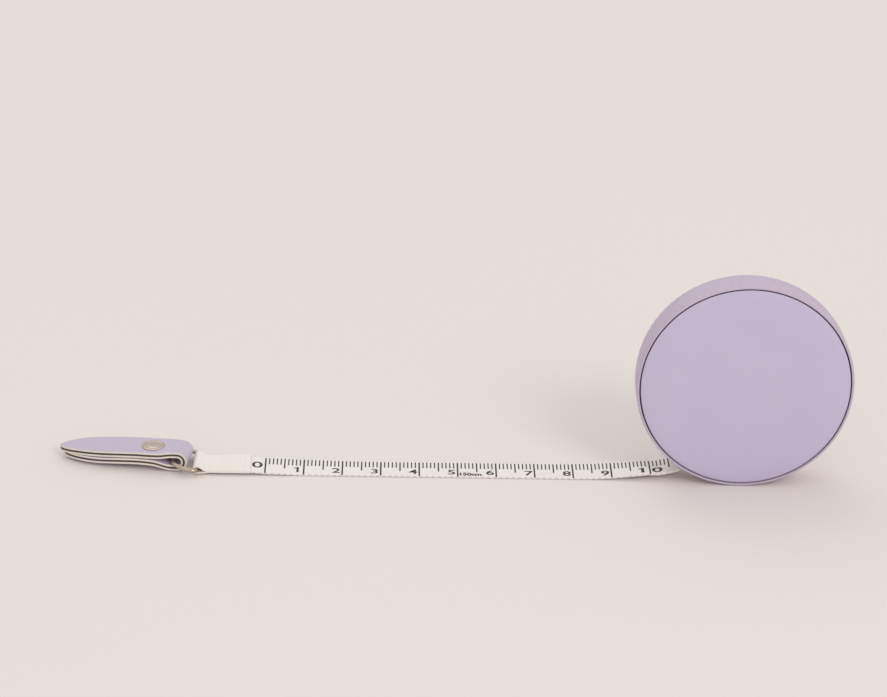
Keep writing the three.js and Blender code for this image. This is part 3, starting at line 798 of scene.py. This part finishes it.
def rear_cover():
    """The padded rear: flat, with a tight roll at its edge."""
    radius = (REAR_HIGH.x - REAR_LOW.x) / 2
    roll = (REAR_HIGH.y - REAR_LOW.y) * REAR_EDGE_FALL_SHARE
    profile = [(place, REAR_HIGH.y - roll * fall)
               for place, fall in crown_profile(radius, REAR_CROWN_POWER, REAR_STEPS)]
    profile.append((radius, REAR_LOW.y))
    cover = turned("rear_face_cover", profile, CASE_X, CASE_Z, CASE_STEPS, FACE_LEATHER, FLAT_SIDE_ANGLE)
    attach(cover, "case")
    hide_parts("rear_leather")


rim_cover()
stitch_row("front_stitches", CASE_RADIUS - FRONT_STITCH_SINK, FRONT_SEAM_Y)
stitch_row("rear_stitches", REAR_SEAM_RADIUS - REAR_STITCH_SINK, REAR_SEAM_Y)
face_cover()
rear_cover()


# Tape

SLOT_END = Vector((SLOT_PLACE.x, 0, SLOT_PLACE.z))


def tape_curve():
    """The four points of the curve that lifts the tape's middle from the floor to the slot."""
    low = TAPE_LOW.z + TAPE_THICKNESS / 2
    half_way = (TAPE_FLAT_END + SLOT_END.x) / 2
    along = Vector((math.cos(TAPE_SLOPE), 0, math.sin(TAPE_SLOPE)))
    pull = SLOT_END - along * (SLOT_END.z - low) * TAPE_CURVE_REACH
    return Vector((TAPE_FLAT_END, 0, low)), Vector((half_way, 0, low)), pull, SLOT_END


CURVE = tape_curve()


def curve_at(share):
    rest = 1 - share
    return (CURVE[0] * rest ** 3 + CURVE[1] * 3 * rest ** 2 * share
            + CURVE[2] * 3 * rest * share ** 2 + CURVE[3] * share ** 3)


def tape_height(x):
    """The height of the tape's middle at a place along it."""
    if x <= TAPE_FLAT_END:
        return CURVE[0].z
    if x >= SLOT_END.x:
        return SLOT_END.z + (x - SLOT_END.x) * math.tan(TAPE_SLOPE)
    low, high = 0.0, 1.0
    for _ in range(30):
        share = (low + high) / 2
        if curve_at(share).x < x:
            low = share
        else:
            high = share
    return curve_at(low).z


def strip(name, start, end, half_width):
    """A flat grid in the tape's plane, from one X to another."""
    middle = ((start + end) / 2, TAPE_MIDDLE_Y, 0)
    select_none()
    bpy.ops.mesh.primitive_grid_add(
        x_subdivisions=TAPE_PIECES_ALONG, y_subdivisions=TAPE_PIECES_ACROSS, size=1, location=middle)
    piece = bpy.context.object
    piece.name = name
    edit(piece)
    bpy.ops.transform.resize(value=(end - start, half_width * 2, 1), center_override=middle)
    leave_edit()
    apply_place()
    return piece


def lay_uv(piece):
    """Gives each point its place along and across the tape, in metres, for the weave."""
    mesh = piece.data
    layer = mesh.uv_layers.new(name="weave") if not mesh.uv_layers else mesh.uv_layers[0]
    for loop in mesh.loops:
        co = mesh.vertices[loop.vertex_index].co
        layer.data[loop.index].uv = (co.x - TAPE_ZERO, co.y - TAPE_MIDDLE_Y)


def table_value(table, place):
    """A smooth line through [place, value] pairs, all in millimetres."""
    place = place / MM
    if place <= table[0][0]:
        return table[0][1] * MM
    for (low, low_value), (high, high_value) in zip(table, table[1:]):
        if place <= high:
            share = smooth_share((place - low) / (high - low))
            return (low_value + (high_value - low_value) * share) * MM
    return table[-1][1] * MM


def tape_lift(x, y):
    """How far the tape lies above its plain curve at a place along and across it."""
    share = (y - TAPE_MIDDLE_Y) / TAPE_HALF_WIDTH / 2 + 0.5
    return table_value(NEAR_LIFT, x) * (1 - share) + table_value(FAR_LIFT, x) * share


def lift_onto_tape(piece, above):
    for vertex in piece.data.vertices:
        vertex.co.z += tape_height(vertex.co.x) + tape_lift(vertex.co.x, vertex.co.y) + above


def print_onto_tape(piece):
    """Lays print on the tape's upper side, which stands higher above its middle where the tape slopes."""
    step = 0.1 * MM
    for vertex in piece.data.vertices:
        x = vertex.co.x
        slope = (tape_height(x + step) - tape_height(x - step)) / (step * 2)
        vertex.co.z += TAPE_THICKNESS * (math.sqrt(1 + slope * slope) - 1)
    lift_onto_tape(piece, TAPE_THICKNESS / 2 + MARK_HEIGHT / 2)
    paint(piece, PRINT_INK)
    settle(piece)
    blend_tape(piece)


def blend_tape(piece):
    """Puts the piece's place, turn and size into its mesh."""
    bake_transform(piece)


def tape_strip():
    piece = strip("tape_strip", END_HIGH.x, TAPE_HIGH.x + TAPE_TAIL, TAPE_HALF_WIDTH)
    lift_onto_tape(piece, -TAPE_THICKNESS / 2)
    add_modifier(piece, "SOLIDIFY", thickness=TAPE_THICKNESS, offset=1.0, use_even_offset=True)
    add_modifier(piece, "BEVEL", width=TAPE_THICKNESS * 0.25, segments=2, limit_method="ANGLE")
    paint(piece, TAPE_CLOTH)
    settle(piece)
    lay_uv(piece)
    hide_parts("free_tape")
    blend_tape(piece)


def mark_box(x, low_y, high_y, width):
    select_none()
    bpy.ops.mesh.primitive_cube_add(
        size=1, location=(x, (low_y + high_y) / 2, 0), scale=(width, high_y - low_y, MARK_HEIGHT))
    piece = bpy.context.object
    apply_place()
    return piece


def tape_marks():
    """A mark each millimetre along the far edge, longer each 5 mm and each centimetre."""
    far = TAPE_MIDDLE_Y + TAPE_HALF_WIDTH - MARK_FAR_MARGIN
    near = TAPE_MIDDLE_Y - TAPE_HALF_WIDTH + MARK_NEAR_MARGIN
    marks = []
    for index in range(LAST_MARK + 1):
        length, width = next(shares for every, *shares in MARKS if index % every == 0)
        low = far - (far - near) * length
        marks.append(mark_box(TAPE_ZERO + index * MM, low, far, MARK_WIDTH * width))
    print_onto_tape(joined("tape_marks", marks))


def printed(text, x, y, size, wide, bold):
    """A flat piece of print, made a mesh with its middle at a place on the tape."""
    data = bpy.data.curves.new(text, "FONT")
    data.body = text
    data.size = size
    data.extrude = MARK_HEIGHT / 2
    data.offset = bold
    data.align_x = "CENTER"
    data.align_y = "CENTER"
    data.resolution_u = 4
    piece = as_mesh("print_" + text, data)
    piece.scale = (wide, 1, 1)
    piece.location = (x, y, 0)
    apply_place()
    return piece


def one_flag(x, y):
    """The short slanted stroke at the head of a figure 1."""
    flag = mark_box(0, -FLAG_HALF_LENGTH, FLAG_HALF_LENGTH, FLAG_WIDTH)
    flag.data.transform(Matrix.Translation((x, y, 0)) @ Matrix.Rotation(FLAG_SLANT, 4, "Z"))
    return flag


def tape_numbers():
    """The figures 0 to 10 under their marks, and the tape's length in small print after the 5."""
    near = TAPE_MIDDLE_Y - TAPE_HALF_WIDTH
    pieces = []
    for text, place, rise, size, wide, bold in PRINT:
        pieces.append(printed(text, TAPE_ZERO + place * MM, near + rise * MM, size * MM, wide, bold * MM))
    for place in FLAG_PLACES:
        pieces.append(one_flag(TAPE_ZERO + place, near + FLAG_RISE))
    print_onto_tape(joined("tape_numbers", pieces))


def path_strip(name, path, half_width, middle_y, thickness, material):
    """A strip whose rows follow [x, z] points, given its thickness to the left of the path."""
    piece = grid(name, len(path) - 1, 6)
    for vertex, (x, z) in with_path(piece, path):
        vertex.co = (x, middle_y + vertex.co.y * half_width, z)
    paint(piece, material)
    add_modifier(piece, "SOLIDIFY", thickness=thickness, offset=-1.0)
    return piece


def under_height(x):
    """The height of the turned-back end's lower layer, which climbs to the ring's bar."""
    climb = RING_BAR.z - LOOP_RADIUS - END_LOW.z
    return END_LOW.z + climb * smooth_share((END_HIGH.x - x) / (END_HIGH.x - RING_BAR.x))


def sewn_end_path():
    """The tape's outer side: along the floor, round the ring's bar and back on top of itself."""
    length = END_HIGH.x - RING_BAR.x
    points = []
    for step in range(END_STEPS + 1):
        x = END_HIGH.x - length * step / END_STEPS
        points.append((x, under_height(x)))
    for step in range(1, LOOP_STEPS + 1):
        angle = -math.pi / 2 - LOOP_TURN * step / LOOP_STEPS
        x = RING_BAR.x + LOOP_RADIUS * math.cos(angle)
        points.append((x, RING_BAR.z + LOOP_RADIUS * math.sin(angle)))
    last_x, last_z = points[-1]
    for step in range(1, END_STEPS + 1):
        x = last_x + (END_HIGH.x - last_x) * step / END_STEPS
        fall = smooth_share((x - last_x) / LOOP_FALL)
        points.append((x, last_z + (under_height(x) + TAPE_THICKNESS * 2 - last_z) * fall))
    return points


def sewn_end():
    half_width = (END_HIGH.y - END_LOW.y) / 2
    middle_y = (END_LOW.y + END_HIGH.y) / 2
    piece = path_strip("sewn_tape_end", sewn_end_path(), half_width, middle_y, TAPE_THICKNESS, TAPE_CLOTH)
    for vertex in piece.data.vertices:
        vertex.co.z += tape_lift(vertex.co.x, vertex.co.y)
    settle(piece, ROLLED_EDGE_ANGLE)
    lay_uv(piece)
    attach(piece, "tape")
    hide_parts("tape_end")


def end_stitches():
    """Two rows of white stitches across the turned-back end."""
    places = []
    for setback in END_STITCH_SETBACKS:
        x = END_HIGH.x - setback
        for index in range(END_STITCHES_ACROSS):
            y = END_LOW.y + (END_HIGH.y - END_LOW.y) * (index + 0.5) / END_STITCHES_ACROSS
            z = under_height(x) + TAPE_THICKNESS * 2 + tape_lift(x, y)
            places.append(Matrix.Translation((x, y, z)))
    row = stitches("end_stitches", END_STITCH_SIZE, places, END_THREAD)
    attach(row, "tape")


tape_strip()
tape_marks()
tape_numbers()
sewn_end()
end_stitches()


# D ring

def ring_corner(arc_middle, side):
    """One round corner of the ring, from the bar to the half circle, on one side of its middle."""
    inside = RING_HALF_WIDTH - RING_CORNER
    points = []
    for step in range(RING_CORNER_STEPS + 1):
        share = step / RING_CORNER_STEPS
        rest = 1 - share
        y = inside * rest ** 2 + RING_HALF_WIDTH * (2 * rest * share + share ** 2)
        points.append((arc_middle * share ** 2, y * side))
    return points


def ring_path():
    """The wire's middle: a straight bar, round corners, short legs and a half circle."""
    reach = (RING_HOLD - RING_BAR).length
    arc_middle = RING_HALF_WIDTH - reach
    inside = RING_HALF_WIDTH - RING_CORNER
    points = []
    for step in range(RING_BAR_STEPS):
        points.append((0, -inside + 2 * inside * step / RING_BAR_STEPS))
    points.extend(ring_corner(arc_middle, 1))
    for step in range(1, RING_ARC_STEPS):
        angle = math.pi / 2 + math.pi * step / RING_ARC_STEPS
        points.append((arc_middle + RING_HALF_WIDTH * math.cos(angle), RING_HALF_WIDTH * math.sin(angle)))
    points.extend(list(reversed(ring_corner(arc_middle, -1)))[:-1])
    return points


def ring_wire():
    data = bpy.data.curves.new("ring_wire", "CURVE")
    data.dimensions = "3D"
    data.bevel_depth = WIRE_RADIUS
    data.bevel_resolution = 5
    line = data.splines.new("POLY")
    tilt = math.asin((RING_HOLD.z - RING_BAR.z) / (RING_HOLD - RING_BAR).length)
    points = ring_path()
    line.points.add(len(points) - 1)
    for point, (x, y) in zip(line.points, points):
        point.co = (RING_BAR.x + x * math.cos(tilt), RING_BAR.y + y, RING_BAR.z - x * math.sin(tilt), 1)
    line.use_cyclic_u = True
    piece = as_mesh("ring_wire", data)
    paint(piece, NICKEL_PAINTED_WARM_REFLECTION)
    settle(piece, FLAT_SIDE_ANGLE)
    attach(piece, "ring")
    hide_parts("d_ring")


ring_wire()


# Leather tab

TAB_ORIGIN = Vector((FLAP_HINGE.x - TAB_SET_LEFT, FLAP_HINGE.y + TAB_SET_BACK, 0))


def leaf_half_width(distance, length):
    """Half the leaf's width at a distance from the fold: narrow in the ring, full, then a rounded tip."""
    half = TAB_WIDTH / 2
    fold_half = FOLD_WIDTH / 2
    shoulder = TAB_LENGTH * SHOULDER_SHARE
    taper = length * TAPER_SHARE
    if distance <= 0:
        return fold_half
    if distance < shoulder:
        return fold_half + (half - fold_half) * smooth_share(distance / shoulder)
    if distance < taper:
        return half
    share = min((distance - taper) / (length - taper), 1)
    return half * (1 - share ** TIP_POWER) ** TIP_ROUNDNESS


def spline_table(table, distance):
    """A smooth line through evenly handled [distance, height] pairs, all in millimetres."""
    place = distance / MM
    if place <= table[0][0]:
        return table[0][1] * MM
    for index, ((low, low_value), (high, high_value)) in enumerate(zip(table, table[1:])):
        if place > high and index < len(table) - 2:
            continue
        before = table[max(index - 1, 0)]
        after = table[min(index + 2, len(table) - 1)]
        span = high - low
        low_slope = (high_value - before[1]) / max(high - before[0], span)
        high_slope = (after[1] - low_value) / max(after[0] - low, span)
        share = min((place - low) / span, 1)
        rest = 1 - share
        value = (low_value * rest ** 2 * (1 + 2 * share) + high_value * share ** 2 * (1 + 2 * rest)
                 + span * (low_slope * share * rest ** 2 - high_slope * share ** 2 * rest))
        return value * MM
    return table[-1][1] * MM


def flap_height(distance):
    """The height of the upper leaf's outside above the surface the tab lies on."""
    return FOLD_TOP - spline_table(UPPER_LEAF_DROP, distance)


def lower_height(distance):
    """The height of the lower leaf's outside above the surface the tab lies on."""
    return FOLD_LIFT + spline_table(LOWER_LEAF_RISE, distance)


def leaf_distances(start, length):
    """Distances along a leaf, closer together towards the rounded tip."""
    distances = []
    for step in range(LEAF_STEPS + 1):
        share = step / LEAF_STEPS
        eased = LEAF_EVEN_SHARE * share + (1 - LEAF_EVEN_SHARE) * math.sin(math.pi / 2 * share)
        distances.append(start + (length - start) * eased)
    return distances


def fold_path(inset, arc_from, arc_to):
    """[distance, height] points of the fold, between two angles, at an inset from its outside."""
    radius = FOLD_RADIUS - inset
    points = []
    for step in range(FOLD_STEPS + 1):
        angle = arc_from + (arc_to - arc_from) * step / FOLD_STEPS
        points.append((-radius * math.cos(angle), FOLD_LIFT + FOLD_RADIUS + radius * math.sin(angle)))
    return points


def leaf_piece(name, path, length, thickness, materials):
    """A leaf: a strip laid along a path, narrowed to the leaf's outline and given its thickness."""
    piece = grid(name, len(path) - 1, LEAF_COLUMNS)
    for vertex, (distance, height) in with_path(piece, path):
        across = vertex.co.y * max(leaf_half_width(distance, length), TIP_LEAST)
        place = TAB_ORIGIN + TAB_ALONG * distance + TAB_ACROSS * across
        vertex.co = (place.x, place.y, height)
    paint(piece, *materials)
    edit(piece)
    bpy.ops.mesh.remove_doubles(threshold=WELD_DISTANCE)
    leave_edit()
    add_modifier(piece, "SOLIDIFY", thickness=thickness, offset=1.0, use_even_offset=True,
                 material_offset_rim=len(materials) - 1)
    add_modifier(piece, "BEVEL", width=thickness * 0.22, segments=2, limit_method="ANGLE",
                 angle_limit=math.radians(ROLLED_EDGE_ANGLE))
    settle(piece, ROLLED_EDGE_ANGLE)
    return piece


def lower_leaf_layer(name, index, materials):
    """A layer of the lower leaf with its part of the fold. The outer layer's fold ends half-way up."""
    inset, thickness = LAYERS[index]
    length = TAB_LENGTH - LOWER_TIP_SETBACK
    distances = reversed(leaf_distances(LEAF_START, length))
    flat = [(distance, lower_height(distance) + inset) for distance in distances]
    fold_end = 0.0 if index == 0 else math.pi / 2
    path = flat + fold_path(inset, -math.pi / 2, fold_end)
    piece = leaf_piece(name, path, length, thickness, materials)
    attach(piece, "tab")
    return piece


def upper_leaf_layer(name, index, materials):
    """A layer of the upper leaf. The outer layer starts half-way up the fold, the others at its top."""
    inset, thickness = LAYERS[index]
    distances = leaf_distances(FLAP_START if index else LEAF_START, TAB_LENGTH)
    flat = [(distance, flap_height(distance) - inset) for distance in distances]
    fold = fold_path(inset, 0.0, math.pi / 2) if index == 0 else []
    return leaf_piece(name, fold + flat, TAB_LENGTH, thickness, materials)


def leather_tab():
    leather_sides = (TAB_LEATHER_PAINTED_WARM_LIGHT, RAW_EDGE)
    lower = lower_leaf_layer("lower_leaf_leather", 0, leather_sides)
    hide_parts("tab_leather")
    core = lower_leaf_layer("lower_leaf_core", 1, (BOARD,))
    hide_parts("tab_core")
    lining = lower_leaf_layer("lower_leaf_lining", 2, leather_sides)
    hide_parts("tab_lining")
    upper = upper_leaf_layer("upper_leaf_leather", 0, leather_sides)
    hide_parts("flap_leather")
    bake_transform(upper)
    core = upper_leaf_layer("upper_leaf_core", 1, (BOARD,))
    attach(core, "tab_flap")
    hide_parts("flap_core")
    lining = upper_leaf_layer("upper_leaf_lining", 2, leather_sides)
    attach(lining, "tab_flap")
    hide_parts("flap_lining")


def turned_up(name, profile, place, steps, material):
    """A piece turned about an upright axis, from one [radius, z] point to the next."""
    piece = turned(name, profile, 0, 0, steps, material, ROLLED_EDGE_ANGLE)
    piece.data.transform(Matrix.Translation(place) @ Matrix.Rotation(math.pi / 2, 4, "X"))
    edit(piece)
    bpy.ops.mesh.normals_make_consistent(inside=False)
    leave_edit()
    return piece


def snap_button():
    """The stud's round cap: a domed middle, a ring groove, a rolled rim and a short stem below."""
    top = CAP_HIGH.z + CAP_RISE
    base = flap_height(SNAP_DISTANCE) + CAP_CLEARANCE
    side = base + (top - base) * CAP_SIDE_SHARE
    shares = [(share, top - depth * MM) for share, depth in CAP_TOP]
    shares += [(1.0, side), (0.985, base), (0.3, base), (0.28, CAP_LOW.z), (0.05, CAP_LOW.z)]
    profile = [(SNAP_RADIUS * share, z) for share, z in shares]
    place = TAB_ORIGIN + TAB_ALONG * SNAP_DISTANCE
    cap = turned_up("snap_button", profile, place, CAP_STEPS, NICKEL_PAINTED_WARM_REFLECTION)
    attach(cap, "tab_flap")
    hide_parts("snap_cap")


leather_tab()
snap_button()


# Finishes of the pieces that stay as they are

def finish_frame_pieces():
    finishes = {
        "rear_shell": SHELL, "slot_guide": GUIDE, "rear_pad": FOAM, "arbor": STEEL, "arbor_screw": STEEL,
        "brake_pin": STEEL, "brake_spring": STEEL, "tape_lead": WOUND_CLOTH, "return_spring_1": STEEL,
        "return_spring_2": STEEL, "return_spring_3": STEEL, "face_pad": FOAM, "press_plate": GUIDE,
        "brake_lever": GUIDE, "brake_shoe": RUBBER, "reel_drum": GUIDE, "drum_cover": STEEL,
        "power_spring": STEEL, "tape_roll": WOUND_CLOTH, "snap_stud": BRASS, "stud_rivet": NICKEL_PAINTED_WARM_REFLECTION,
        "snap_socket": BRASS,
    }
    for name, material in finishes.items():
        paint(frame["nodes"][name], material)


def press_springs():
    """Gives each of the three springs under the front face a mesh of its own."""
    for number in (1, 2, 3):
        name = f"return_spring_{number}"
        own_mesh(frame["nodes"][name])


finish_frame_pieces()
press_springs()


# Floor and light. The lamps are [name, place, aimed at, size, power, colour]

FLOOR_SIZE = 8
DAYLIGHT_COLOUR = (1.0, 0.985, 0.97, 1)
DAYLIGHT_STRENGTH = 0.76
WHITE = (1, 1, 1)
WARM_WHITE = (1.0, 0.98, 0.96)
LAMPS = (
    ("key_light", (0.85, -1.15, 1.1), (0.0, 0.0, 0.0), 0.7, 7.0, WARM_WHITE),
    ("front_fill", (-0.6, -1.5, 1.0), (0.0, 0.0, 0.02), 1.2, 1.4, WHITE),
    ("back_light", (-0.35, 0.9, 1.3), (-0.1, 0.35, 0.0), 1.2, 3.2, WHITE),
)


def plain_floor():
    select_none()
    bpy.ops.mesh.primitive_plane_add(size=FLOOR_SIZE, location=(0, 0, 0))
    floor = bpy.context.object
    floor.name = "floor"
    material, tree, shader = new_material("floor_paper", 0.9)
    shade = noise(tree, object_vector(tree), 1.5, 2.0)
    colour = mix_colours(tree, shade, linear(230, 223, 219), linear(233, 226, 222))
    tree.links.new(colour, shader.inputs["Base Color"])
    shader.inputs["Specular IOR Level"].default_value = 0.1
    paint(floor, material)


def area_lamp(name, place, target, size, power, colour):
    data = bpy.data.lights.new(name, "AREA")
    data.shape = "DISK"
    data.size = size
    data.energy = power
    data.color = colour
    lamp = bpy.data.objects.new(name, data)
    bpy.context.scene.collection.objects.link(lamp)
    lamp.location = place
    lamp.rotation_euler = (Vector(target) - Vector(place)).to_track_quat("-Z", "Y").to_euler()


def studio_light():
    world = bpy.data.worlds.new("studio")
    world.use_nodes = True
    background = world.node_tree.nodes["Background"]
    background.inputs["Color"].default_value = DAYLIGHT_COLOUR
    background.inputs["Strength"].default_value = DAYLIGHT_STRENGTH
    bpy.context.scene.world = world
    for lamp in LAMPS:
        area_lamp(*lamp)


plain_floor()
studio_light()
bpy.context.scene.view_settings.view_transform = "Standard"
